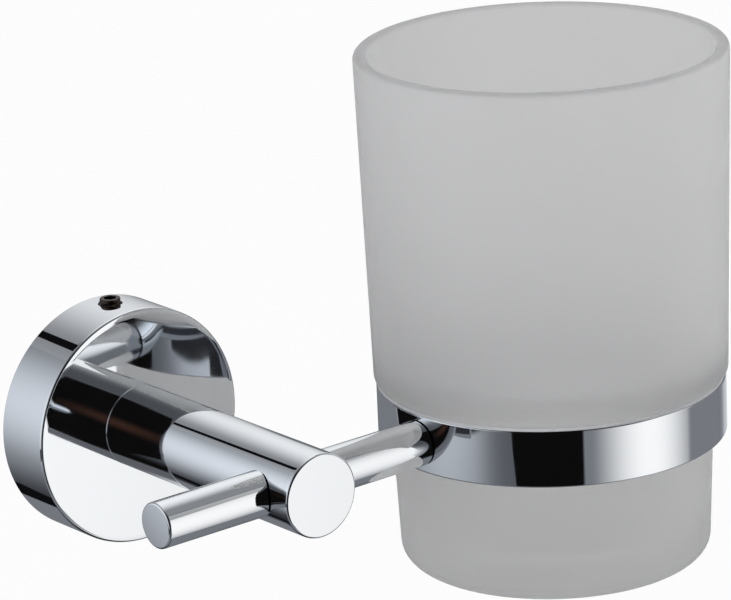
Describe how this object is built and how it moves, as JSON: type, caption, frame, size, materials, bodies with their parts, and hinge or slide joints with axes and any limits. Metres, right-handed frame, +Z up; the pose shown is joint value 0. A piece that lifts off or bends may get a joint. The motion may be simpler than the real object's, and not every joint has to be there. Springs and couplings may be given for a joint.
{
  "type": "toothbrush holder",
  "caption": "Wall-mounted toothbrush holder: round flange, straight arm, cross rod with a peg on one side and a band ring on the other, holding a stepped frosted tumbler.",
  "frame": {"origin": "centre of the flange's back, on the wall", "axes": "+Y into the wall, so the arm stands out along -Y; +X from the arm towards the ring and the tumbler; +Z up"},
  "size_m": [0.1411, 0.1019, 0.1089],
  "materials": {
    "chrome": "mirror chrome plate on polished brass",
    "zinc": "zinc die casting, as cast",
    "steel": "stainless steel, turned",
    "black_steel": "alloy steel, black oxide",
    "brass": "turned brass, bare",
    "frosted_glass": "acid-frosted inside and out"
  },
  "bodies": {
    "holder": {"wall_plate": "zinc", "wall_flange": "chrome", "arm_tube": "chrome", "arm_end_cap": "chrome", "arm_root_plug": "brass", "arm_screw": "steel", "arm_lock_washer": "steel", "arm_locating_pin": "steel", "cross_bush": "brass", "cross_stud": "steel", "peg": "chrome", "ring_bar": "chrome", "ring_band": "chrome", "ring_screw": "steel"},
    "set_screw": {"set_screw": "black_steel"},
    "tumbler": {"tumbler": "frosted_glass"}
  },
  "joints": [
    {"name": "tumbler_lift", "type": "slide", "parent": "holder", "child": "tumbler", "axis": [0, 0, 1], "range_m": [0, 0.06]},
    {"name": "set_screw_back_out", "type": "slide", "parent": "holder", "child": "set_screw", "axis": [0, 0, 1], "range_m": [0, 0.002]}
  ]
}
